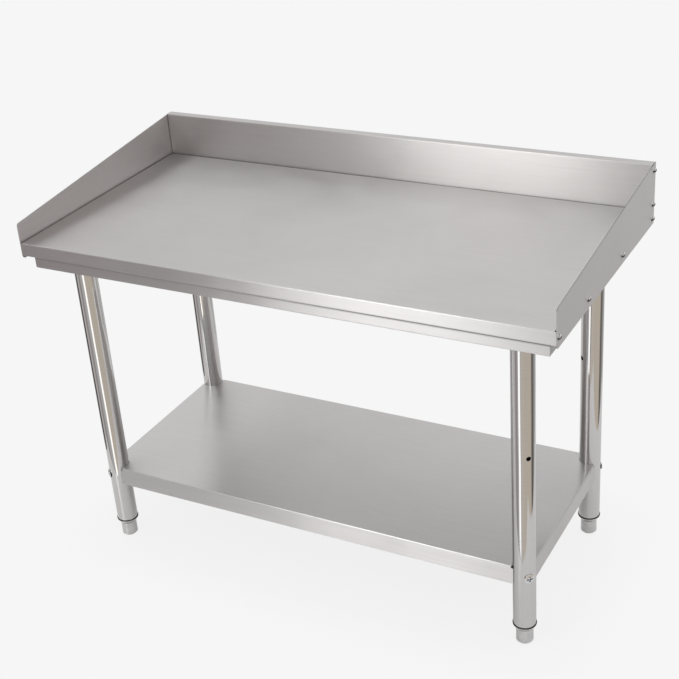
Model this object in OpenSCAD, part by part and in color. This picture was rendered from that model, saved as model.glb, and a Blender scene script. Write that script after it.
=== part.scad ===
// Stainless work table: folded worktop on a channel frame, three-sided raised guard,
// tube legs with an undershelf and screw-in levelling feet.
// X runs along the length, Y from front to rear, Z up. The origin is on the floor,
// below the centre of the table's outline.

/* [Overall] */
// Length over the side panels
table_l = 1200; // [1000:10:1500]
// Depth from the front band to the rear of the backsplash
table_d = 600; // [560:10:700]
// Height of the work surface with the feet screwed right in
surface_z = 780; // [700:5:850]

/* [Worktop] */
// Thickness of all folded sheet
sheet_t = 1.2; // [1:0.1:1.5]
// Radius of the sheet's bends, at the middle of its thickness
bend_r = 1.8; // [1.2:0.1:2.4]
// Height of the upper band along the worktop's edge
band_h = 29; // [24:1:32]
// Set-back of the lower band behind the upper one
setback = 17; // [14:1:20]
// Fall of the slanted lip that joins the two bands
lip_drop = 4.5; // [3:0.5:6]
// Height of the whole edge, upper and lower band together
edge_h = 62; // [56:1:70]
// Width of the frame rails' flanges
rail_flange = 30; // [20:1:32]

/* [Guard] */
// Height of the backsplash above the work surface
guard_h = 100; // [60:5:150]
// Height of the side panels above the work surface at the front
guard_front_h = 44; // [20:1:60]
// How far the guard sheets reach below the work surface
guard_drop = 36; // [30:1:40]
// Depth of the backsplash's top return
return_d = 20; // [16:1:30]
// Depth of the hem at the back of the top return
hem_h = 12; // [8:1:20]

/* [Legs] */
// Outer diameter of the leg tubes
leg_d = 48; // [42:0.5:50]
// Wall thickness of the leg tubes
leg_wall = 1.2; // [1:0.1:1.5]
// Leg axes in from the ends of the table
leg_in_x = 95; // [90:1:120]
// Leg axes in from the front and rear of the worktop
leg_in_y = 82; // [80:1:110]
// Height of the spare holes through the legs
spare_hole_z = 460; // [400:1:600]

/* [Undershelf] */
// Height of the undershelf's surface
shelf_z = 195; // [160:5:300]
// Height of the undershelf's edge
shelf_edge_h = 45; // [40:1:60]
// How far the undershelf reaches past the leg axes
shelf_over = 17.5; // [14:0.5:20]
// Height of the undershelf's bolts below its surface
bolt_drop = 21; // [18:1:24]

/* [Feet] */
// Outer diameter of the foot barrels
foot_d = 36; // [32:0.5:38]
// Height of the foot barrels up to the cone under their rim
foot_h = 35; // [32:1:45]
// Thread pitch of the foot studs
pitch = 1.75; // [1.25:0.25:2]
// Full turns that each foot can be unscrewed
foot_turns = 14; // [8:1:16]

/* [Hidden] */

$fn = 48;

satin = [0.74, 0.73, 0.72];
brushed = [0.66, 0.65, 0.64];
polished = [0.82, 0.81, 0.80];
cast = [0.70, 0.70, 0.70];
nylon = [0.08, 0.08, 0.09];
zinc = [0.78, 0.79, 0.80];

// The worktop lies inside the side panels and in front of the backsplash.
top_half_l = table_l / 2 - sheet_t;
top_half_d = (table_d - return_d) / 2;
top_mid_y = -return_d / 2;
rear_face_y = top_mid_y + top_half_d;
top_under_z = surface_z - sheet_t;
frame_z = surface_z - edge_h;
frame_half_l = top_half_l - setback;
frame_half_d = top_half_d - setback;

leg_x = table_l / 2 - leg_in_x;
leg_y = top_half_d - leg_in_y;
// Corner signs: front left, front right, rear left, rear right.
FL = [-1, -1];
FR = [1, -1];
RL = [-1, 1];
RR = [1, 1];
CORNERS = [FL, FR, RL, RR];

// Feet and the inserts above them, from the floor up.
pad_proud = 1;
foot_rim_d = leg_d + 1.6;
foot_rim_h = 1.6;
foot_cone_h = 8.4;
foot_step = 0.8;
insert_flange_d = leg_d + 2.4;
insert_flange_h = 2.2;
insert_depth = 30;
foot_top_z = foot_h + foot_cone_h + foot_rim_h;
leg_z = foot_top_z + insert_flange_h;
stud_d = 12;
running_gap = 0.08;
stud_in_foot = 18;
insert_nut_h = 10;
insert_nut_af = 18;
foot_travel = foot_turns * pitch;
// With its foot right out, a stud still fills its nut.
stud_top_z = leg_z + insert_depth + foot_travel;
pad_d = 30;
pad_h = 3;
pad_stem_d = 10;
pad_stem_h = 12;

// Sockets that hold the tops of the legs.
socket_wall = 3;
socket_gap = 0.1;
socket_below = 18;
socket_above = 36;
socket_plate = 84;
socket_plate_t = 3;
channel_half_w = 45;
channel_lip = 14;
leg_top_z = frame_z + socket_above;
grub_d = 6;
grub_z = frame_z - socket_plate_t - 8;

// Stiffeners of hat section.
hat_w = 60;
hat_h = 25;
hat_flange = 15;
hat_spread_y = 110;

// Fasteners.
m5_d = 5;
m5_head_d = 9;
m5_head_h = 3.2;
m5_l = 12;
m5_nut_h = 4;
m5_nut_af = 8;
m5_hole_d = 5.4;
tap_d = 3.8;
tap_l = 12;
tap_point = 3;
tap_head_d = 10;
tap_head_h = 3.7;
tap_washer_d = 12;
tap_washer_t = 1;
tap_hole_d = 5.4;
pilot_d = tap_d + 2 * running_gap;
m8_d = 8;
m8_head_d = 22;
m8_head_h = 3.4;
m8_nut_h = 6.5;
m8_nut_af = 13;
m8_washer_d = 18;
m8_washer_t = 1.6;
m8_hole_d = 8.5;
leg_hole_d = 10;
bolt_end = 3;

shelf_half_l = leg_x + shelf_over;
shelf_half_d = leg_y + shelf_over;
shelf_hem = 12;
relief_r = 4;
relief_h = 6;
leg_clear = 0.4;
bolt_z = shelf_z - bolt_drop;
bracket_t = 2;
bracket_h = 36;
bracket_tab = 16;
bracket_gap = 0.1;

// Side panel screws: the rear three hold the backsplash, the front three the worktop.
guard_screws = [
    [table_d / 2 - return_d / 2, guard_h - 15],
    [table_d / 2 - return_d / 2, 10],
    [table_d / 2 - return_d / 2, -22],
    [table_d * 0.14, -17],
    [-table_d * 0.21, -16],
    [-table_d / 2 + 12, -15]];
backsplash_screw_n = 5;
backsplash_screw_z = surface_z - 17;
backsplash_screw_end = 60;

// ---------------------------------------------------------------- outlines

function unit(v) = v / norm(v);
function left_of(v) = [-v[1], v[0]];
function turned(v, a) = [v[0] * cos(a) - v[1] * sin(a), v[0] * sin(a) + v[1] * cos(a)];
function backwards(pts) = [for (i = [len(pts) - 1:-1:0]) pts[i]];
function mirrored(pts) = [for (p = backwards(pts)) [-p[0], p[1]]];

// Arc that rounds the bend at p, on the face that lies off to the left of the path.
function bend(before, p, after, off, r) =
    let (d1 = unit(p - before), d2 = unit(after - p))
    let (turn = atan2(d1[0] * d2[1] - d1[1] * d2[0], d1 * d2))
    let (s = sign(turn), centre = p - d1 * r * tan(abs(turn) / 2) + left_of(d1) * s * r)
    let (steps = max(2, ceil(abs(turn) / 15)))
    [for (k = [0:steps]) centre - turned(left_of(d1), turn * k / steps) * (s * r - off)];

// One face of a sheet that is folded along the path pts.
function face(pts, off, r = bend_r) =
    let (last = len(pts) - 1)
    concat(
        [pts[0] + left_of(unit(pts[1] - pts[0])) * off],
        [for (i = [1:last - 1]) each bend(pts[i - 1], pts[i], pts[i + 1], off, r)],
        [pts[last] + left_of(unit(pts[last] - pts[last - 1])) * off]);

// Cross-section of a strip of sheet folded along the path pts.
function strip(pts, t = sheet_t, r = bend_r) = concat(face(pts, t / 2, r), backwards(face(pts, -t / 2, r)));

// Solid section inside the outer face, and the hollow inside the inner face, of an
// edge path that starts at the middle of the sheet and ends at a free edge.
function solid_section(path) = let (half = face(path, sheet_t / 2)) concat(half, mirrored(half));
function hollow_section(path) =
    let (inner = face(path, -sheet_t / 2), outer = face(path, sheet_t / 2))
    let (tip = outer[len(outer) - 1])
    let (half = concat(inner, [tip, [tip[0], tip[1] - sheet_t * 10]]))
    concat(half, mirrored(half));

// Block whose section is pts_d across the depth and pts_l along the length.
module crossed(pts_l, pts_d, half_l, half_d) {
    over = 20;
    intersection() {
        rotate([90, 0, 90]) translate([0, 0, -half_l - over])
            linear_extrude(2 * (half_l + over)) polygon(pts_d);
        rotate([90, 0, 0]) translate([0, 0, -half_d - over])
            linear_extrude(2 * (half_d + over)) polygon(pts_l);
    }
}

// Folded tray: a flat sheet with the same folded edge on all four sides.
module tray(path_l, path_d, half_l, half_d) {
    difference() {
        crossed(solid_section(path_l), solid_section(path_d), half_l, half_d);
        crossed(hollow_section(path_l), hollow_section(path_d), half_l, half_d);
    }
}

// ---------------------------------------------------------------- fasteners

// Pan-head screw with a cross recess. The head stands on z = 0 and the shank hangs below.
module pan_screw(d, l, head_d, head_h) {
    edge = head_h * 0.35;
    crown = head_h - edge;
    dome_r = (crown * crown + head_d * head_d / 4) / (2 * crown);
    slot_w = head_d * 0.14;
    slot_l = head_d * 0.6;
    difference() {
        union() {
            translate([0, 0, -l]) cylinder(h = l + edge, d = d);
            cylinder(h = edge, d = head_d);
            intersection() {
                translate([0, 0, edge]) cylinder(h = crown + 1, d = head_d);
                translate([0, 0, head_h - dome_r]) sphere(r = dome_r);
            }
        }
        for (a = [0, 90])
            rotate([0, 0, a]) translate([-slot_l / 2, -slot_w / 2, head_h * 0.45])
                cube([slot_l, slot_w, head_h]);
    }
}

// Hexagon nut on z = 0, bored to clear the plain shank that stands for the thread.
module hex_nut(d, af, h) {
    difference() {
        cylinder(h = h, d = af / cos(30), $fn = 6);
        translate([0, 0, -1]) cylinder(h = h + 2, d = d + 2 * running_gap);
    }
}

// ---------------------------------------------------------------- worktop and frame

band_x = top_half_l - sheet_t / 2;
band_y = top_half_d - sheet_t / 2;
function band_path(edge) = [
    [0, surface_z - sheet_t / 2],
    [edge, surface_z - sheet_t / 2],
    [edge, surface_z - band_h + sheet_t / 2],
    [edge - setback + sheet_t, surface_z - band_h - lip_drop + sheet_t / 2]];

// Holes of diameter d for the tapping screws at both ends of the guard.
module end_holes(d) {
    for (s = [-1, 1], p = guard_screws)
        translate([s * top_half_l - 6, p[0], surface_z + p[1]])
            rotate([0, 90, 0]) cylinder(h = 12, d = d);
}

// Clearance holes for the screws that hold the backsplash to the worktop.
module rear_holes() {
    for (x = backsplash_screw_x)
        translate([x, rear_face_y + 6, backsplash_screw_z])
            rotate([90, 0, 0]) cylinder(h = 12, d = m5_hole_d);
}

module worktop() {
    color(satin) difference() {
        translate([0, top_mid_y, 0])
            tray(band_path(band_x), band_path(band_y), top_half_l, top_half_d);
        end_holes(pilot_d);
        rear_holes();
    }
}

// Channel rail along the -Y side of a frame of half sizes a and b, with mitred ends.
module rail(a, b) {
    mitre = rail_flange + 1;
    path = [
        [-b + rail_flange, top_under_z - sheet_t / 2],
        [-b + sheet_t / 2, top_under_z - sheet_t / 2],
        [-b + sheet_t / 2, frame_z + sheet_t / 2],
        [-b + rail_flange, frame_z + sheet_t / 2]];
    intersection() {
        rotate([90, 0, 90]) translate([0, 0, -a]) linear_extrude(2 * a) polygon(strip(path));
        translate([0, 0, frame_z - 1]) linear_extrude(edge_h + 2)
            polygon([[-a, -b], [a, -b], [a - mitre, -b + mitre], [-a + mitre, -b + mitre]]);
    }
}

module long_rail(s) {
    color(satin) translate([0, top_mid_y, 0]) rotate([0, 0, s > 0 ? 180 : 0])
        rail(frame_half_l, frame_half_d);
}

module end_rail(s) {
    color(satin) translate([0, top_mid_y, 0]) rotate([0, 0, s * 90])
        rail(frame_half_d, frame_half_l);
}

// Lipped channel that ties the front rail to the rear rail over one pair of legs.
module leg_channel(s) {
    half_w = channel_half_w - sheet_t / 2;
    high = top_under_z - sheet_t / 2;
    low = frame_z + sheet_t / 2;
    path = [
        [-half_w + channel_lip, high], [-half_w, high], [-half_w, low],
        [half_w, low], [half_w, high], [half_w - channel_lip, high]];
    half_l = frame_half_d - rail_flange;
    color(zinc) difference() {
        translate([s * leg_x, top_mid_y + half_l, 0])
            rotate([90, 0, 0]) linear_extrude(2 * half_l) polygon(strip(path));
        for (sy = [-1, 1])
            translate([s * leg_x, top_mid_y + sy * leg_y, frame_z - 1])
                cylinder(h = 10, d = leg_d + 2 * (socket_gap + socket_wall + bracket_gap));
    }
}

// Hat-section stiffener along X, welded by its flanges under a sheet at height z.
module hat(y, z, half_l) {
    high = z - sheet_t / 2;
    low = z - hat_h + sheet_t / 2;
    half_w = hat_w / 2;
    path = [
        [-half_w - hat_flange, high], [-half_w, high], [-half_w + 3, low],
        [half_w - 3, low], [half_w, high], [half_w + hat_flange, high]];
    color(zinc) translate([-half_l, y, 0])
        rotate([90, 0, 90]) linear_extrude(2 * half_l) polygon(strip(path));
}

module top_stiffener(s) {
    hat(top_mid_y + s * hat_spread_y, top_under_z, leg_x - channel_half_w);
}

// ---------------------------------------------------------------- guard

backsplash_screw_x = [for (i = [0:backsplash_screw_n - 1])
    (table_l / 2 - backsplash_screw_end) * (2 * i / (backsplash_screw_n - 1) - 1)];

// Backsplash: a sheet with a return and hem along the top and a flange at each end.
module backsplash() {
    high = surface_z + guard_h;
    low = surface_z - guard_drop;
    rear = table_d / 2;
    mid = sheet_t / 2;
    ends = [[0, rear_face_y + mid], [top_half_l - mid, rear_face_y + mid], [top_half_l - mid, rear]];
    cover = [
        [rear_face_y + mid, low], [rear_face_y + mid, high - mid],
        [rear - mid, high - mid], [rear - mid, high - hem_h]];
    plan_out = face(ends, -mid);
    plan_in = face(ends, mid);
    cover_out = face(cover, mid);
    cover_in = face(cover, -mid);
    color(brushed) difference() {
        intersection() {
            translate([0, 0, low]) linear_extrude(guard_h + guard_drop)
                polygon(concat(plan_out, mirrored(plan_out)));
            rotate([90, 0, 90]) translate([0, 0, -table_l / 2]) linear_extrude(table_l)
                polygon(concat(cover_out, [[rear, low]]));
        }
        intersection() {
            translate([0, 0, low - 1]) linear_extrude(guard_h + guard_drop + 2)
                polygon(concat(plan_in, [[top_half_l - sheet_t, rear + 5]],
                    [[sheet_t - top_half_l, rear + 5]], mirrored(plan_in)));
            rotate([90, 0, 90]) translate([0, 0, -table_l / 2]) linear_extrude(table_l)
                polygon(concat([[rear_face_y + sheet_t, low - 1]], cover_in,
                    [[rear + 5, high - hem_h], [rear + 5, low - 1]]));
        }
        end_holes(pilot_d);
        rear_holes();
    }
}

// Point list of a polygon with its corners rounded, each to its own radius.
function rounded(pts, radii) = let (n = len(pts))
    [for (i = [0:n - 1]) each bend(pts[(i + n - 1) % n], pts[i], pts[(i + 1) % n], 0, radii[i])];

module side_panel(s) {
    outline = rounded([
        [-table_d / 2, surface_z - guard_drop], [table_d / 2, surface_z - guard_drop],
        [table_d / 2, surface_z + guard_h], [-table_d / 2, surface_z + guard_front_h]],
        [8, 2, 2, 7]);
    color(brushed) difference() {
        translate([s > 0 ? top_half_l : -table_l / 2, 0, 0])
            rotate([90, 0, 90]) linear_extrude(sheet_t) polygon(outline);
        end_holes(tap_hole_d);
    }
}

module backsplash_screws() {
    color(zinc) for (x = backsplash_screw_x)
        translate([x, rear_face_y + sheet_t, backsplash_screw_z])
            rotate([-90, 0, 0]) pan_screw(m5_d, m5_l, m5_head_d, m5_head_h);
}

module backsplash_nuts() {
    color(zinc) for (x = backsplash_screw_x)
        translate([x, rear_face_y - sheet_t, backsplash_screw_z])
            rotate([90, 0, 0]) hex_nut(m5_d, m5_nut_af, m5_nut_h);
}

// Tapping screw with a washer under its head; the washer stands on z = 0.
module tapping_screw() {
    translate([0, 0, tap_washer_t]) pan_screw(tap_d, tap_l - tap_point, tap_head_d, tap_head_h);
    cylinder(h = tap_washer_t, d = tap_washer_d);
    translate([0, 0, tap_point - tap_l + tap_washer_t]) mirror([0, 0, 1])
        cylinder(h = tap_point, d1 = tap_d, d2 = 0.4);
}

module side_panel_screws() {
    color(polished) for (s = [-1, 1], p = guard_screws)
        translate([s * table_l / 2, p[0], surface_z + p[1]])
            rotate([0, s * 90, 0]) tapping_screw();
}

// ---------------------------------------------------------------- legs

module at_leg(c) {
    translate([c[0] * leg_x, top_mid_y + c[1] * leg_y, 0]) children();
}

// Points +X outwards along the corner's diagonal.
module outwards(c) {
    rotate([0, 0, atan2(c[1], c[0])]) children();
}

// Socket: a sleeve over the leg's top end, closed above, on a square plate.
module socket(c) {
    sleeve_r = leg_d / 2 + socket_gap + socket_wall;
    color(cast) at_leg(c) difference() {
        union() {
            translate([0, 0, frame_z - socket_below])
                cylinder(h = socket_below + socket_above + socket_wall, r = sleeve_r);
            translate([-socket_plate / 2, -socket_plate / 2, frame_z - socket_plate_t])
                cube([socket_plate, socket_plate, socket_plate_t]);
        }
        translate([0, 0, frame_z - socket_below - 1])
            cylinder(h = socket_below + socket_above + 1, r = leg_d / 2 + socket_gap);
        outwards(c) translate([0, 0, grub_z]) rotate([0, -90, 0])
            cylinder(h = leg_d, d = grub_d + 2 * running_gap);
    }
}

// Grub screws, with a hexagon socket, pressing on the legs from the inside.
module socket_grub_screws() {
    grub_l = 8;
    key_af = 3;
    color(zinc) for (c = CORNERS) at_leg(c) outwards(c)
        translate([-leg_d / 2, 0, grub_z]) rotate([0, -90, 0]) difference() {
            cylinder(h = grub_l, d = grub_d);
            translate([0, 0, grub_l - 3]) cylinder(h = 4, d = key_af / cos(30), $fn = 6);
        }
}

// Leg tube with a bolt hole for the undershelf and a spare hole higher up.
module leg(c) {
    color(polished) at_leg(c) difference() {
        translate([0, 0, leg_z]) cylinder(h = leg_top_z - leg_z, d = leg_d);
        translate([0, 0, leg_z - 1]) cylinder(h = leg_top_z - leg_z + 2, d = leg_d - 2 * leg_wall);
        for (z = [bolt_z, spare_hole_z])
            outwards(c) translate([-leg_d, 0, z]) rotate([0, 90, 0])
                cylinder(h = 2 * leg_d, d = leg_hole_d);
    }
}

// ---------------------------------------------------------------- undershelf

function shelf_path(edge) = [
    [0, shelf_z - sheet_t / 2],
    [edge, shelf_z - sheet_t / 2],
    [edge, shelf_z - shelf_edge_h + sheet_t / 2],
    [edge - shelf_hem, shelf_z - shelf_edge_h + sheet_t / 2]];

// Folded shelf, notched round the legs, with a bend relief where each edge meets a leg.
module undershelf() {
    notch_r = leg_d / 2 + leg_clear;
    notch_end = sqrt(notch_r * notch_r - shelf_over * shelf_over) + 1;
    reach = 2 * shelf_over;
    color(satin) difference() {
        translate([0, top_mid_y, 0])
            tray(shelf_path(shelf_half_l - sheet_t / 2), shelf_path(shelf_half_d - sheet_t / 2),
                shelf_half_l, shelf_half_d);
        for (c = CORNERS) at_leg(c) translate([0, 0, shelf_z - shelf_edge_h - 1]) {
            cylinder(h = shelf_edge_h + 2, r = notch_r);
            in_quarter(c) cube([reach, reach, shelf_edge_h + 2]);
        }
        for (c = CORNERS, q = [[-notch_end, shelf_over], [shelf_over, -notch_end]])
            at_leg(c) in_quarter(c) translate([q[0], q[1], shelf_z - relief_h])
                cylinder(h = relief_h + 1, r = relief_r);
    }
}

// Mirrors a shape drawn for the +X +Y quarter into the quarter of the corner c.
module in_quarter(c) {
    mirror([c[0] < 0 ? 1 : 0, 0, 0]) mirror([0, c[1] < 0 ? 1 : 0, 0]) children();
}

module shelf_stiffener() {
    hat(top_mid_y, shelf_z - sheet_t, shelf_half_l - shelf_hem - 2 * sheet_t);
}

// Bracket across the undershelf's corner, bent back along both edges.
module bracket(c) {
    mid = bracket_t / 2;
    flange = shelf_over - sheet_t - mid - bracket_gap;
    // The plate's middle lies where x + y = -offset, seen from the leg's axis.
    offset = (leg_d / 2 + bracket_gap + mid) * sqrt(2);
    path = [
        [flange, -offset - flange - bracket_tab], [flange, -offset - flange],
        [-offset - flange, flange], [-offset - flange - bracket_tab, flange]];
    color(zinc) difference() {
        at_leg(c) in_quarter(c)
            translate([0, 0, bolt_z - bracket_h / 2]) linear_extrude(bracket_h)
                polygon(strip(path, bracket_t, bracket_t));
        at_leg(c) outwards(c) translate([-2 * leg_d, 0, bolt_z]) rotate([0, 90, 0])
            cylinder(h = 2 * leg_d, d = m8_hole_d);
    }
}

module shelf_bolts() {
    grip = leg_d + bracket_gap + bracket_t + m8_washer_t + m8_nut_h + bolt_end;
    color(polished) for (c = CORNERS) at_leg(c) outwards(c)
        translate([leg_d / 2, 0, bolt_z]) rotate([0, 90, 0])
            pan_screw(m8_d, grip, m8_head_d, m8_head_h);
}

// Places a part with its outer face on the inner face of the corner bracket.
module behind_bracket(c, gap) {
    at_leg(c) outwards(c)
        translate([-leg_d / 2 - bracket_gap - bracket_t - gap, 0, bolt_z]) rotate([0, -90, 0]) children();
}

module shelf_washers() {
    color(zinc) for (c = CORNERS) behind_bracket(c, 0) difference() {
        cylinder(h = m8_washer_t, d = m8_washer_d);
        translate([0, 0, -1]) cylinder(h = m8_washer_t + 2, d = m8_hole_d);
    }
}

module shelf_nuts() {
    color(zinc) for (c = CORNERS) behind_bracket(c, m8_washer_t) hex_nut(m8_d, m8_nut_af, m8_nut_h);
}

// ---------------------------------------------------------------- feet

// Insert pressed into the leg: its flange closes the tube, its top holds a nut.
module insert(c) {
    top = insert_flange_h + insert_depth;
    color(nylon) at_leg(c) translate([0, 0, foot_top_z]) difference() {
        union() {
            cylinder(h = insert_flange_h, d = insert_flange_d);
            cylinder(h = top, d = leg_d - 2 * leg_wall);
        }
        translate([0, 0, -1]) cylinder(h = top + 2, d = stud_d + 1);
        translate([0, 0, top - insert_nut_h])
            cylinder(h = insert_nut_h + 1, d = insert_nut_af / cos(30) + 0.2, $fn = 6);
    }
}

module insert_nuts() {
    color(zinc) for (c = CORNERS) at_leg(c)
        translate([0, 0, leg_z + insert_depth - insert_nut_h]) hex_nut(stud_d, insert_nut_af, insert_nut_h);
}

module stud(c) {
    low = foot_top_z - stud_in_foot;
    point = 1.5;
    color(zinc) at_leg(c) translate([0, 0, low]) {
        cylinder(h = stud_top_z - low - point, d = stud_d);
        translate([0, 0, stud_top_z - low - point])
            cylinder(h = point, d1 = stud_d, d2 = stud_d - 2 * point);
    }
}

// Foot barrel with a cone and a rim at the top, bored for its stud and hollow for its pad.
module foot(c) {
    chamfer = 2;
    color(cast) at_leg(c) difference() {
        rotate_extrude() polygon([
            [0, pad_proud], [foot_d / 2 - chamfer, pad_proud], [foot_d / 2, pad_proud + chamfer],
            [foot_d / 2, foot_h], [foot_d / 2 + foot_step, foot_h],
            [foot_rim_d / 2, foot_h + foot_cone_h], [foot_rim_d / 2, foot_top_z], [0, foot_top_z]]);
        translate([0, 0, foot_top_z - stud_in_foot]) cylinder(h = stud_in_foot + 1, d = stud_d);
        translate([0, 0, -1]) cylinder(h = pad_h + running_gap + 1, d = pad_d + 2 * running_gap);
        translate([0, 0, -1])
            cylinder(h = pad_h + pad_stem_h + running_gap + 1, d = pad_stem_d + 2 * running_gap);
    }
}

// Pad that stays still on the floor while the foot turns on its stem.
module pad(c) {
    color(nylon) at_leg(c) {
        cylinder(h = pad_h, d = pad_d);
        cylinder(h = pad_h + pad_stem_h, d = pad_stem_d);
    }
}

// ---------------------------------------------------------------- the table

worktop();
long_rail(-1);  // front_rail
long_rail(1);  // rear_rail
end_rail(-1);  // left_rail
end_rail(1);  // right_rail
leg_channel(-1);  // left_leg_channel
leg_channel(1);  // right_leg_channel
top_stiffener(-1);  // front_stiffener
top_stiffener(1);  // rear_stiffener
backsplash();
side_panel(-1);  // left_side_panel
side_panel(1);  // right_side_panel
backsplash_screws();
backsplash_nuts();
side_panel_screws();
socket(FL);  // front_left_socket
socket(FR);  // front_right_socket
socket(RL);  // rear_left_socket
socket(RR);  // rear_right_socket
socket_grub_screws();
leg(FL);  // front_left_leg
leg(FR);  // front_right_leg
leg(RL);  // rear_left_leg
leg(RR);  // rear_right_leg
undershelf();
shelf_stiffener();
bracket(FL);  // front_left_bracket
bracket(FR);  // front_right_bracket
bracket(RL);  // rear_left_bracket
bracket(RR);  // rear_right_bracket
shelf_bolts();
shelf_washers();
shelf_nuts();
insert(FL);  // front_left_insert
insert(FR);  // front_right_insert
insert(RL);  // rear_left_insert
insert(RR);  // rear_right_insert
insert_nuts();
stud(FL);  // front_left_stud
stud(FR);  // front_right_stud
stud(RL);  // rear_left_stud
stud(RR);  // rear_right_stud
foot(FL);  // front_left_foot
foot(FR);  // front_right_foot
foot(RL);  // rear_left_foot
foot(RR);  // rear_right_foot
pad(FL);  // front_left_pad
pad(FR);  // front_right_pad
pad(RL);  // rear_left_pad
pad(RR);  // rear_right_pad
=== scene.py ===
"""A stainless work table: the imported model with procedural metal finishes, cut threads on its levelling
feet, and a plain pale studio."""

import math

import bmesh
import bpy
from mathutils import Matrix, Vector


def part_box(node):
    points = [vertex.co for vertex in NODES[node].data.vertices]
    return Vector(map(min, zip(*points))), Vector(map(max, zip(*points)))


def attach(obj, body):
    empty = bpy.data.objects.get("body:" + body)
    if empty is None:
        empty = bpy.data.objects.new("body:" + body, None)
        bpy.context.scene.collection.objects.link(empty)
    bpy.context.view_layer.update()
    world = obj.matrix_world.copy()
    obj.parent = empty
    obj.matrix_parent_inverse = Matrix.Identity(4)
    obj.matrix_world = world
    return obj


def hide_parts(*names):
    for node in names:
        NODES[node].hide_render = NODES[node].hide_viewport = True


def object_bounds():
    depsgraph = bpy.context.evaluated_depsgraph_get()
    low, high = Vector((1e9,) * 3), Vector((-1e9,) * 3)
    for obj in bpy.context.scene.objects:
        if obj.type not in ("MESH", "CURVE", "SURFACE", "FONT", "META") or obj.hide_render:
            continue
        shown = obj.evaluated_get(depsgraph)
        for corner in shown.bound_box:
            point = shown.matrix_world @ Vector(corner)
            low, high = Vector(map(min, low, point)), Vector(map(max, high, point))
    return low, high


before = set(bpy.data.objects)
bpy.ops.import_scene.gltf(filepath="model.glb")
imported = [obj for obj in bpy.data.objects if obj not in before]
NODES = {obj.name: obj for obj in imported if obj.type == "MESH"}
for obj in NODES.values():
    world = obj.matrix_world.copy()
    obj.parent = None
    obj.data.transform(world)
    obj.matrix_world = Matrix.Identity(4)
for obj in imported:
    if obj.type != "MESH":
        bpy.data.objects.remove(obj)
cad_low, cad_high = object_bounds()
SCENE = bpy.context.scene
CORNERS = ("front_left", "front_right", "rear_left", "rear_right")

# The camera, fitted to the photograph's view of the table
CAMERA_AT = Vector((1.2960, -2.2808, 1.8792))
CAMERA_YAW, CAMERA_PITCH, CAMERA_ROLL = map(math.radians, (29.743, 27.603, -4.532))
CAMERA_LENS, SENSOR = 71.227, 36.0
CLIP_NEAR, CLIP_FAR = 0.05, 60.0

# The background's colour
PALE = (0.922, 0.922, 0.922)

# Worktop: how far in from its sides and rear the painted shade in the grooves beside the guard begins and is
# full
GROOVE_START, GROOVE_FULL = 0.0044, 0.0024
# Rails: how far below the worktop's lip its shade begins and is full, and the half width over which
# it grows from left to right
SHADE_START, SHADE_FULL, SHADE_SPREAD = 0.0100, 0.0040, 0.30

# Sheet steel: noise cells per metre along and across the brushing, and the radius of the rubbed edges
FINE_LINES = (14.0, 2600.0)
BROAD_LINES = (5.0, 330.0)
EDGE_RADIUS = 0.0012
# Rubbed edges: paler from wear, and brighter as a painted highlight
RUBBED_EDGE_SHEEN = (0.74, 0.735, 0.73)
WARMER = (1.02, 0.985, 0.975)
# The colour of the painted shade in grooves, under the worktop's lip and on cut edges
PAINTED_SHADE_COLOUR = (0.035, 0.032, 0.032)
# Share of the brightness that smears take or give
SMEAR_SHARE = 0.03
# Heights of the bumps in metres
WAVE_DEPTH, BRUSH_DEPTH = 0.0016, 0.00002
TUBE_WAVE_DEPTH, TUBE_RING_DEPTH = 0.00045, 0.000006
TURNING_DEPTH, SPANGLE_DEPTH, GRAIN_DEPTH = 0.00003, 0.00003, 0.00004

# Small parts: shade is painted where ambient occlusion finds a recess within this distance
RECESS_REACH = 0.005
RECESS_SHADE_COLOUR = (0.012, 0.011, 0.011)
# The colour of painted shade lines around turned parts
SHADE_LINE_COLOUR = (0.03, 0.03, 0.03)
# The colour of the painted dark reflection on undersides
DARK_BELOW_REFLECTION = (0.03, 0.028, 0.028)
# Levelling feet: height and half width of the painted shade lines under the cone and at the floor
FOOT_SHADE_LINES = ((0.0350, 0.0013), (0.0012, 0.0022))

# Threaded studs
PITCH = 0.00175
THREAD_DEPTH = 0.00095
LEAD_IN = 0.0016
AROUND, PER_TURN = 40, 8

# Floor: how far it reaches past the table, and how its visible part fades into the background
FLOOR_LEFT, FLOOR_RIGHT, FLOOR_FRONT, FLOOR_BACK = 0.315, 0.375, 0.22, 0.50
FLOOR_BELOW = 0.0002
FADE_FROM_X, FADE_FROM_Y = 0.50, 0.20
FADE_START, FADE_END = 0.02, 0.24


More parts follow.
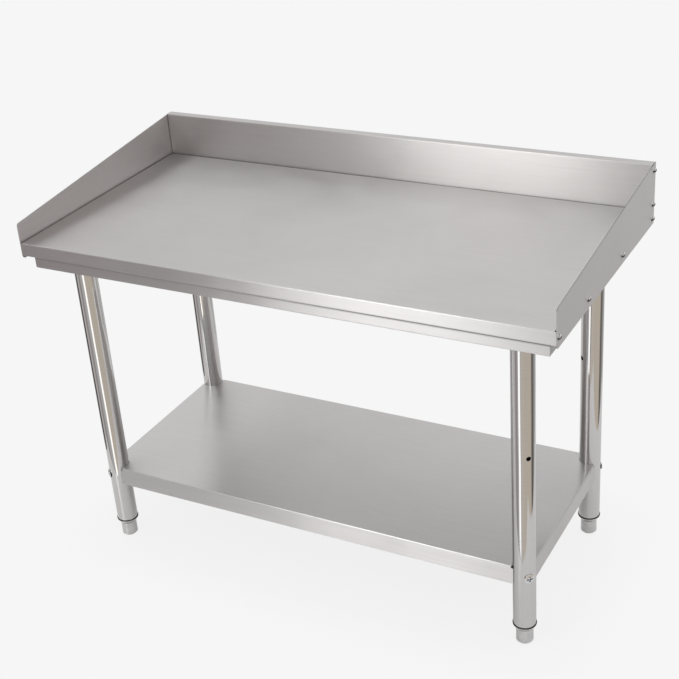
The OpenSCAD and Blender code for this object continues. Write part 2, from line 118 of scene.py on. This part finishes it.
class Graph:
    """Short calls that build one node tree."""

    def __init__(self, tree):
        self.tree = tree
        tree.nodes.clear()

    def put(self, socket, value):
        if isinstance(value, bpy.types.NodeSocket):
            self.tree.links.new(value, socket)
        elif socket.type == "RGBA" and len(value) == 3:
            socket.default_value = (*value, 1.0)
        else:
            socket.default_value = value

    def add(self, kind, inputs=None, **settings):
        node = self.tree.nodes.new("ShaderNode" + kind)
        for name, value in settings.items():
            setattr(node, name, value)
        for name, value in (inputs or {}).items():
            self.put(node.inputs[name], value)
        return node

    def math(self, operation, *values):
        node = self.add("Math", operation=operation)
        for socket, value in zip(node.inputs, values):
            self.put(socket, value)
        return node.outputs[0]

    def vector(self, operation, a, b):
        return self.add("VectorMath", {0: a, 1: b}, operation=operation).outputs["Vector"]

    def dot(self, a, b):
        return self.add("VectorMath", {0: a, 1: b}, operation="DOT_PRODUCT").outputs["Value"]

    def split(self, vector):
        return self.add("SeparateXYZ", {"Vector": vector}).outputs

    def join(self, x, y, z):
        return self.add("CombineXYZ", {"X": x, "Y": y, "Z": z}).outputs[0]

    def shaded(self, colour, shade):
        """The colour, as much brighter or darker as shade says."""
        return self.vector("MULTIPLY", colour, self.join(shade, shade, shade))

    def fade(self, value, low, high, start=0.0, end=1.0):
        """start below low, end above high, with a smooth step between."""
        inputs = {"Value": value, "From Min": low, "From Max": high, "To Min": start, "To Max": end}
        return self.add("MapRange", inputs, interpolation_type="SMOOTHSTEP").outputs[0]

    def noise(self, vector, scale=1.0, detail=2.0, roughness=0.5, distortion=0.0):
        inputs = {"Vector": vector, "Scale": scale, "Detail": detail}
        inputs.update({"Roughness": roughness, "Distortion": distortion})
        return self.add("TexNoise", inputs).outputs["Fac"]

    def bump(self, height, distance, strength, normal=None):
        inputs = {"Height": height, "Distance": distance, "Strength": strength}
        if normal is not None:
            inputs["Normal"] = normal
        return self.add("Bump", inputs).outputs[0]

    def blend(self, share, a, b):
        node = self.add("Mix", data_type="RGBA", blend_type="MIX")
        for name, value in (("Factor_Float", share), ("A_Color", a), ("B_Color", b)):
            self.put(next(s for s in node.inputs if s.identifier == name), value)
        return next(s for s in node.outputs if s.identifier == "Result_Color")

    def ramp(self, value, stops):
        node = self.add("ValToRGB", {"Fac": value})
        elements = node.color_ramp.elements
        while len(elements) > 1:
            elements.remove(elements[-1])
        for i, (at, colour) in enumerate(stops):
            stop = elements[0] if i == 0 else elements.new(at)
            stop.position, stop.color = at, (*colour, 1.0)
        node.color_ramp.interpolation = "EASE"
        return node.outputs["Color"]

    def both(self, a, b):
        """Two shaders added together."""
        node = self.add("AddShader")
        self.put(node.inputs[0], a)
        self.put(node.inputs[1], b)
        return node.outputs[0]

    def between(self, share, a, b):
        """Two shaders mixed by share."""
        node = self.add("MixShader", {"Fac": share})
        self.put(node.inputs[1], a)
        self.put(node.inputs[2], b)
        return node.outputs[0]


def make_material(name):
    material = bpy.data.materials.new(name)
    material.use_nodes = True
    return material, Graph(material.node_tree)


def finish_material(g, **inputs):
    """Ends the tree in a Principled shader. An input's name is its socket's, in small letters."""
    surface = g.add("BsdfPrincipled", {k.replace("_", " ").title(): v for k, v in inputs.items()})
    g.add("OutputMaterial", {"Surface": surface.outputs[0]})


# ---------------------------------------------------------------- materials


def worktop_groove_shade(g, x, y, z, nz):
    """Painted shade in the grooves where the worktop's rounded edges meet the guard."""
    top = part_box("worktop")[1]
    sides = g.fade(g.math("ABSOLUTE", x), top.x - GROOVE_START, top.x - GROOVE_FULL)
    rear = g.fade(y, top.y - GROOVE_START, top.y - GROOVE_FULL)
    return g.math("MULTIPLY", g.math("MAXIMUM", sides, rear), g.math("GREATER_THAN", nz, 0.7))


def under_the_band(g, x, y, z, nz):
    """Painted shade at the top of the rails, under the worktop's lip, stronger towards the right."""
    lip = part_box("worktop")[0].z
    near_lip = g.fade(z, lip - SHADE_START, lip - SHADE_FULL, 0.0, 0.82)
    return g.math("MULTIPLY", near_lip, g.fade(x, -SHADE_SPREAD, SHADE_SPREAD, 0.25, 1.0))


def shaded_cut_edges(g, x, y, z, nz):
    """The sheared edges of the side panels, the faces that turn up or down, darkened as painted shade."""
    return g.math("MULTIPLY", g.math("GREATER_THAN", g.math("ABSOLUTE", nz), 0.15), 0.72)


def sheet_steel(name, along, colour, rough=0.36, stretch=0.97, streak=0.05, dark=None):
    """Brushed stainless sheet. along is the direction of the brushing on its flat faces, "x" or "y";
    dark is a function that says where shade is painted."""
    material, g = make_material(name)
    place = g.add("TexCoord").outputs["Object"]
    geometry = g.add("NewGeometry")
    face_normal = geometry.outputs["True Normal"]
    x, y, z = g.split(place)
    nx, ny, nz = g.split(face_normal)
    rounded = g.add("Bevel", {"Radius": EDGE_RADIUS}, samples=4).outputs["Normal"]
    edge = g.fade(g.dot(rounded, face_normal), 0.80, 0.985, 1.0, 0.0)

    # On faces that look along the brushing, the folded sheet's lines run up and down
    turned = g.math("GREATER_THAN", g.math("ABSOLUTE", nx if along == "x" else ny), 0.7)
    flat = g.math("SUBTRACT", 1.0, turned)
    run, side = (x, y) if along == "x" else (y, x)
    length = g.math("ADD", g.math("MULTIPLY", run, flat), g.math("MULTIPLY", z, turned))
    width = g.math("ADD", side, g.math("MULTIPLY", z, flat))
    brushed = g.join(length, width, run)
    fine = g.noise(g.vector("MULTIPLY", brushed, (*FINE_LINES, 1.0)), 1.0, 3.0, 0.6)
    broad = g.noise(g.vector("MULTIPLY", brushed, (*BROAD_LINES, 1.0)), 1.0, 4.0, 0.65)
    lines = g.math("ADD", g.math("MULTIPLY", fine, 0.45), g.math("MULTIPLY", broad, 0.55))

    smear = g.noise(place, 4.5, 3.0, 0.55, 0.6)
    specks = g.noise(place, 60.0, 3.0, 0.6)
    streaks = g.fade(lines, 0.25, 0.75, 1.0 - streak, 1.0 + streak)
    shade = g.math("ADD", streaks, g.fade(smear, 0.3, 0.7, -SMEAR_SHARE, SMEAR_SHARE))
    base = g.shaded(colour, shade)
    warm = g.fade(g.noise(place, 1.7, 2.0), 0.35, 0.65, 0.0, 0.35)
    base = g.blend(warm, base, g.vector("MULTIPLY", base, WARMER))
    # Edges rubbed paler by wear and brightened as a painted highlight
    rubbed = g.math("MULTIPLY", edge, g.fade(specks, 0.35, 0.6, 0.35, 1.0))
    base = g.blend(rubbed, base, RUBBED_EDGE_SHEEN)
    # Painted shade where dark says
    if dark:
        base = g.blend(dark(g, x, y, z, nz), base, PAINTED_SHADE_COLOUR)

    smeared = g.fade(smear, 0.35, 0.7, -0.025, 0.03)
    roughness = g.math("ADD", g.fade(lines, 0.2, 0.8, rough - 0.05, rough + 0.05), smeared)
    roughness = g.math("ADD", roughness, g.fade(specks, 0.55, 0.8, 0.0, 0.03))
    roughness = g.math("SUBTRACT", roughness, g.math("MULTIPLY", rubbed, 0.08))
    normal = g.bump(g.noise(place, 3.2, 2.0, 0.4), WAVE_DEPTH, 1.0, rounded)
    normal = g.bump(lines, BRUSH_DEPTH, 0.6, normal)
    # The small third part keeps the tangent from vanishing on faces that look along the brushing
    groove = (1.0, 0.0, 0.02) if along == "x" else (0.0, 1.0, 0.02)
    tangent = g.vector("CROSS_PRODUCT", geometry.outputs["Normal"], groove)
    finish_material(g, base_color=base, metallic=1.0, roughness=roughness, anisotropic=stretch,
                    tangent=tangent, normal=normal)
    return material


def polished_tube(name):
    """Welded tube polished to a mirror, with the faint rings that the belts leave."""
    material, g = make_material(name)
    place = g.add("TexCoord").outputs["Object"]
    rings = g.noise(g.vector("MULTIPLY", place, (6.0, 6.0, 1500.0)), 1.0, 3.0, 0.6)
    marks = g.noise(g.vector("MULTIPLY", place, (260.0, 260.0, 30.0)), 1.0, 4.0, 0.7)
    haze = g.noise(place, 7.0, 3.0, 0.6)
    wave = g.noise(g.vector("MULTIPLY", place, (1.0, 1.0, 0.35)), 26.0, 1.0, 0.4)
    shade = g.math("ADD", g.fade(rings, 0.3, 0.7, 0.975, 1.02), g.fade(marks, 0.62, 0.8, 0.0, -0.06))
    roughness = g.math("ADD", g.fade(haze, 0.35, 0.7, 0.045, 0.08), g.fade(marks, 0.6, 0.8, 0.0, 0.08))
    normal = g.bump(rings, TUBE_RING_DEPTH, 0.5, g.bump(wave, TUBE_WAVE_DEPTH, 1.0))
    finish_material(g, base_color=g.shaded((0.62, 0.61, 0.60), shade), metallic=1.0,
                    roughness=roughness, anisotropic=0.55, tangent=g.join(0.0, 0.0, 1.0), normal=normal)
    return material


def turned_metal(name, colour, rough, pitch, tint, worn, recess_shade=0.0, rings=(), shaded=False):
    """Machined or plated metal with fine turning lines, blotches and small marks. pitch is the number
    of lines per metre, tint the colour of the blotches, recess_shade the painted shade in recesses, rings
    the painted shade lines around it, and shaded paints a dark reflection on its undersides."""
    material, g = make_material(name)
    place = g.add("TexCoord").outputs["Object"]
    lines = g.noise(g.vector("MULTIPLY", place, (20.0, 20.0, pitch)), 1.0, 2.0, 0.6)
    blotch = g.noise(place, 45.0, 4.0, 0.6, 0.8)
    marks = g.noise(place, 700.0, 3.0, 0.7)
    base = g.blend(g.fade(blotch, 0.35, 0.65), colour, tuple(c * t for c, t in zip(colour, tint)))
    shade = g.math("ADD", g.fade(lines, 0.3, 0.7, 0.96, 1.03), g.fade(marks, 0.6, 0.8, 0.0, -worn))
    base = g.shaded(base, shade)
    if recess_shade:
        # Painted shade in recesses that ambient occlusion finds
        recess = g.add("AmbientOcclusion", {"Distance": RECESS_REACH}, samples=6, only_local=True)
        base = g.blend(g.fade(recess.outputs["AO"], 0.50, 0.93, recess_shade, 0.0), base, RECESS_SHADE_COLOUR)
    # Painted shade lines around the part at the heights in rings
    for height, half in rings:
        apart = g.math("ABSOLUTE", g.math("SUBTRACT", g.split(place)[2], height))
        base = g.blend(g.fade(apart, half * 0.4, half, 0.85, 0.0), base, SHADE_LINE_COLOUR)
    # Undersides painted dark, a painted reflection of dark surroundings
    if shaded:
        nz = g.split(g.add("NewGeometry").outputs["Normal"])[2]
        base = g.blend(g.fade(nz, -0.25, 0.40, 0.93, 0.0), base, DARK_BELOW_REFLECTION)
    marked = g.fade(marks, 0.55, 0.8, 0.0, worn)
    roughness = g.math("ADD", g.fade(blotch, 0.3, 0.7, rough - 0.04, rough + 0.05), marked)
    finish_material(g, base_color=base, metallic=1.0, roughness=roughness, anisotropic=0.3,
                    tangent=g.join(0.0, 0.0, 1.0), normal=g.bump(lines, TURNING_DEPTH, 0.6))
    return material


def galvanised(name):
    """Zinc-coated sheet with its spangle."""
    material, g = make_material(name)
    place = g.add("TexCoord").outputs["Object"]
    swirl = g.add("TexNoise", {"Vector": place, "Scale": 90.0}).outputs["Color"]
    warped = g.vector("ADD", place, g.vector("MULTIPLY", swirl, (0.004, 0.004, 0.004)))
    crystals = g.add("TexVoronoi", {"Vector": warped, "Scale": 105.0, "Randomness": 1.0})
    facet = g.split(crystals.outputs["Color"])[0]
    dull = g.noise(place, 12.0, 3.0, 0.6)
    shade = g.math("ADD", g.fade(facet, 0.0, 1.0, 0.86, 1.08), g.fade(dull, 0.3, 0.7, -0.05, 0.03))
    roughness = g.math("ADD", g.fade(facet, 0.0, 1.0, 0.34, 0.50), g.fade(dull, 0.3, 0.7, -0.03, 0.06))
    finish_material(g, base_color=g.shaded((0.52, 0.53, 0.54), shade), metallic=1.0,
                    roughness=roughness, normal=g.bump(facet, SPANGLE_DEPTH, 0.5))
    return material


def moulded_nylon(name):
    """Black moulded plastic: fine grain, rubbed paler in places."""
    material, g = make_material(name)
    place = g.add("TexCoord").outputs["Object"]
    grain = g.noise(place, 1900.0, 2.0, 0.6)
    rubbed = g.noise(place, 70.0, 3.0, 0.6)
    base = g.blend(g.fade(rubbed, 0.45, 0.75), (0.006, 0.006, 0.007), (0.020, 0.019, 0.018))
    roughness = g.math("ADD", g.fade(rubbed, 0.3, 0.7, 0.14, 0.28), g.fade(grain, 0.4, 0.8, 0.0, 0.08))
    finish_material(g, base_color=base, roughness=roughness, normal=g.bump(grain, GRAIN_DEPTH, 0.5))
    return material


STEEL = (0.585, 0.575, 0.570)
SHELF_STEEL = (0.615, 0.606, 0.603)
SPLASH_STEEL = (0.575, 0.560, 0.553)
PANEL_STEEL = (0.660, 0.642, 0.636)
SATIN = (0.66, 0.655, 0.65)
CHROME = (0.72, 0.72, 0.73)
BRIGHT_CHROME = (0.95, 0.95, 0.95)
ZINC_PLATE = (0.60, 0.61, 0.63)
COOLER = (0.97, 0.97, 0.98)

top_steel = sheet_steel("worktop_brushed", "x", STEEL, dark=worktop_groove_shade)
rail_steel = sheet_steel("rail_brushed", "x", STEEL, dark=under_the_band)
end_steel = sheet_steel("end_rail_brushed", "y", STEEL, dark=under_the_band)
shelf_steel = sheet_steel("shelf_brushed", "x", SHELF_STEEL, rough=0.34, streak=0.06)
splash_steel = sheet_steel("backsplash_brushed", "x", SPLASH_STEEL, rough=0.34)
panel_steel = sheet_steel("side_panel_brushed", "y", PANEL_STEEL, 0.37, 0.94, dark=shaded_cut_edges)
tube = polished_tube("leg_polish")
foot_metal = turned_metal("foot_satin", SATIN, 0.16, 2600.0, (0.90, 0.90, 0.91), 0.08, rings=FOOT_SHADE_LINES)
bolt = turned_metal("bolt_chrome", CHROME, 0.12, 3000.0, COOLER, 0.04, recess_shade=0.95)
screw = turned_metal("screw_chrome", BRIGHT_CHROME, 0.10, 3000.0, COOLER, 0.04, recess_shade=0.95, shaded=True)
plated = turned_metal("zinc_plate", ZINC_PLATE, 0.28, 3000.0, (0.98, 1.0, 0.93), 0.08)
zinc = galvanised("galvanised_spangle")
nylon = moulded_nylon("black_nylon_moulded")

FINISHES = {
    top_steel: ["worktop"],
    rail_steel: ["front_rail", "rear_rail"],
    end_steel: ["left_rail", "right_rail"],
    shelf_steel: ["undershelf"],
    splash_steel: ["backsplash"],
    panel_steel: ["left_side_panel", "right_side_panel"],
    tube: [c + "_leg" for c in CORNERS],
    foot_metal: [c + "_foot" for c in CORNERS],
    bolt: ["shelf_bolts"],
    screw: ["side_panel_screws"],
    plated: ["backsplash_screws", "backsplash_nuts", "socket_grub_screws"]
    + ["shelf_washers", "shelf_nuts", "insert_nuts"],
    zinc: ["left_leg_channel", "right_leg_channel"]
    + ["front_stiffener", "rear_stiffener", "shelf_stiffener"]
    + [c + p for c in CORNERS for p in ("_socket", "_bracket")],
    nylon: [c + p for c in CORNERS for p in ("_insert", "_pad")],
}
for material, names in FINISHES.items():
    for name in names:
        for slot in NODES[name].material_slots:
            slot.material = material


# ---------------------------------------------------------------- threaded studs


def thread_mesh(name, low, high):
    """A rod with a cut thread and a chamfer at each end, which fills the box from low to high."""
    centre = (low + high) / 2
    radius = (high.x - low.x) / 2
    rows = round((high.z - low.z) / PITCH * PER_TURN)
    rod = bmesh.new()
    rings = []
    for i in range(rows + 1):
        z = low.z + (high.z - low.z) * i / rows
        ring = []
        for k in range(AROUND):
            turn = k / AROUND
            phase = (z / PITCH - turn) % 1.0
            # 1 on the flat crest, 0 in the flat root, sloping between them
            crest = min(1.0, max(0.0, 1.35 - abs(phase - 0.5) * 3.2))
            r = radius - THREAD_DEPTH * (1.0 - crest)
            r = min(r, radius - LEAD_IN + (high.z - z), radius - LEAD_IN + (z - low.z))
            angle = turn * math.tau
            ring.append(rod.verts.new((centre.x + r * math.cos(angle), centre.y + r * math.sin(angle), z)))
        rings.append(ring)
    for a, b in zip(rings, rings[1:]):
        for k in range(AROUND):
            m = (k + 1) % AROUND
            rod.faces.new((a[k], a[m], b[m], b[k]))
    rod.faces.new(list(reversed(rings[0])))
    rod.faces.new(rings[-1])
    for face in rod.faces:
        face.smooth = len(face.verts) == 4
    mesh = bpy.data.meshes.new(name)
    rod.to_mesh(mesh)
    rod.free()
    return mesh


for corner in CORNERS:
    mesh = thread_mesh(corner + "_threaded_stud", *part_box(corner + "_stud"))
    mesh.materials.append(plated)
    stud = bpy.data.objects.new(corner + "_threaded_stud", mesh)
    SCENE.collection.objects.link(stud)
    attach(stud, corner + "_foot")
    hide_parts(corner + "_stud")


# ---------------------------------------------------------------- studio


def floor_material():
    """Nearly white to the camera, fading into the background; the metal sees it in its own light."""
    material, g = make_material("pale_floor")
    place = g.add("TexCoord").outputs["Object"]
    x, y, _ = g.split(place)
    past_x = g.math("MAXIMUM", g.math("SUBTRACT", g.math("ABSOLUTE", x), FADE_FROM_X), 0.0)
    past_y = g.math("MAXIMUM", g.math("SUBTRACT", g.math("ABSOLUTE", y), FADE_FROM_Y), 0.0)
    reach = g.math("SQRT", g.math("ADD", g.math("POWER", past_x, 2.0), g.math("POWER", past_y, 2.0)))
    tooth = g.noise(place, 900.0, 2.0)
    paper = g.blend(g.fade(tooth, 0.3, 0.7), (0.80, 0.80, 0.80), (0.83, 0.83, 0.83))
    seen = g.add("LightPath").outputs["Is Camera Ray"]
    glow = g.add("Emission", {"Color": PALE, "Strength": g.fade(seen, 0.0, 1.0, 0.12, 0.905)})
    matt = g.add("BsdfDiffuse", {"Color": g.shaded(paper, g.fade(seen, 0.0, 1.0, 0.85, 0.10))})
    sheen = g.fade(seen, 0.0, 1.0, 0.10, 0.0)
    gloss = g.add("BsdfAnisotropic", {"Color": g.join(sheen, sheen, sheen), "Roughness": 0.22})
    near = g.both(glow.outputs[0], g.both(matt.outputs[0], gloss.outputs[0]))
    far = g.add("Emission", {"Color": PALE, "Strength": 1.0}).outputs[0]
    from_above = g.between(g.math("MULTIPLY", seen, g.fade(reach, FADE_START, FADE_END)), near, far)
    clear = g.add("BsdfTransparent").outputs[0]
    below = g.add("NewGeometry").outputs["Backfacing"]
    g.add("OutputMaterial", {"Surface": g.between(below, from_above, clear)})
    return material


def pale_floor():
    left, right = cad_low[0] - FLOOR_LEFT, cad_high[0] + FLOOR_RIGHT
    front, back = cad_low[1] - FLOOR_FRONT, cad_high[1] + FLOOR_BACK
    corners = [(x, y, -FLOOR_BELOW) for x, y in ((left, front), (right, front), (right, back), (left, back))]
    mesh = bpy.data.meshes.new("floor")
    mesh.from_pydata(corners, [], [(0, 1, 2, 3)])
    mesh.update()
    mesh.materials.append(floor_material())
    floor = bpy.data.objects.new("floor", mesh)
    SCENE.collection.objects.link(floor)


def compass_ring(g, turn, stops):
    """The light that comes from each direction around the table. A stop is an azimuth in degrees,
    0 in front and 90 to the right, and a grey or a colour."""
    placed = []
    for azimuth, value in stops:
        colour = value if isinstance(value, tuple) else (value, value, value)
        placed.append((azimuth / 360 + 0.5, colour))
    return g.ramp(turn, placed)


def studio_world():
    """Pale to the camera. The metal sees light and dark stretches around it, and light above."""
    world = bpy.data.worlds.new("studio")
    SCENE.world = world
    world.use_nodes = True
    g = Graph(world.node_tree)
    x, y, z = g.split(g.add("TexCoord").outputs["Generated"])
    azimuth = g.math("ARCTAN2", x, g.math("MULTIPLY", y, -1.0))
    turn = g.math("ADD", g.math("DIVIDE", azimuth, math.tau), 0.5)
    low_ring = compass_ring(g, turn, [
        (-180, 0.72), (-150, 0.55), (-112, 0.20), (-84, (0.11, 0.10, 0.10)), (-68, (0.70, 0.67, 0.67)),
        (-43, (0.36, 0.325, 0.33)), (-26, 0.55), (0, 0.62), (8, (0.68, 0.62, 0.55)),
        (45, (0.66, 0.595, 0.515)), (92, (0.67, 0.595, 0.51)), (100, (0.54, 0.48, 0.42)),
        (110, (0.10, 0.095, 0.09)), (121, (0.26, 0.25, 0.24)), (150, 0.50), (180, 0.76)])
    high_ring = compass_ring(g, turn, [
        (-180, 0.90), (-140, 0.88), (-105, 0.60), (-75, (0.26, 0.23, 0.235)), (-45, (0.20, 0.172, 0.176)),
        (-33, (0.64, 0.60, 0.605)), (-15, 0.90), (10, 0.80), (60, (0.67, 0.63, 0.63)),
        (100, (0.52, 0.485, 0.485)), (135, (0.50, 0.47, 0.465)), (158, 0.88), (180, 0.90)])
    sides = g.blend(g.fade(z, -0.12, 0.10), low_ring, high_ring)
    whole = g.blend(g.fade(z, 0.25, 0.75), sides, (1.0, 1.0, 1.0))
    colour = g.blend(g.add("LightPath").outputs["Is Camera Ray"], whole, PALE)
    background = g.add("Background", {"Color": colour, "Strength": 1.0})
    g.add("OutputWorld", {"Surface": background.outputs[0]})
    world.cycles.sampling_method = "MANUAL"
    world.cycles.sample_map_resolution = 1024


def softbox(name, place, wide, tall, power, turned):
    """A flat light in front of the table, upright, turned so many degrees from facing it squarely."""
    data = bpy.data.lights.new(name, "AREA")
    data.shape, data.size, data.size_y, data.energy = "RECTANGLE", wide, tall, power
    lamp = bpy.data.objects.new(name, data)
    SCENE.collection.objects.link(lamp)
    lamp.location = place
    lamp.rotation_euler = (math.radians(90), 0.0, math.radians(turned))


def add_camera():
    yaw, pitch, roll = CAMERA_YAW, CAMERA_PITCH, CAMERA_ROLL
    flat = math.cos(pitch)
    ahead = Vector((-math.sin(yaw) * flat, math.cos(yaw) * flat, -math.sin(pitch)))
    level = Vector((math.cos(yaw), math.sin(yaw), 0.0))
    up = level.cross(ahead)
    right = level * math.cos(roll) + up * math.sin(roll)
    top = up * math.cos(roll) - level * math.sin(roll)
    data = bpy.data.cameras.new("camera")
    data.lens, data.sensor_width = CAMERA_LENS, SENSOR
    data.clip_start, data.clip_end = CLIP_NEAR, CLIP_FAR
    camera = bpy.data.objects.new("camera", data)
    camera.matrix_world = Matrix((right, top, -ahead)).transposed().to_4x4()
    camera.location = CAMERA_AT
    SCENE.collection.objects.link(camera)
    SCENE.camera = camera


pale_floor()
studio_world()
softbox("upper_softbox", (-1.08, -3.2, 1.15), wide=0.95, tall=2.5, power=25.5, turned=-19)
softbox("lower_softbox", (-0.25, -3.2, -1.25), wide=0.9, tall=1.6, power=4.8, turned=-4)
add_camera()
SCENE.view_settings.view_transform = "Standard"
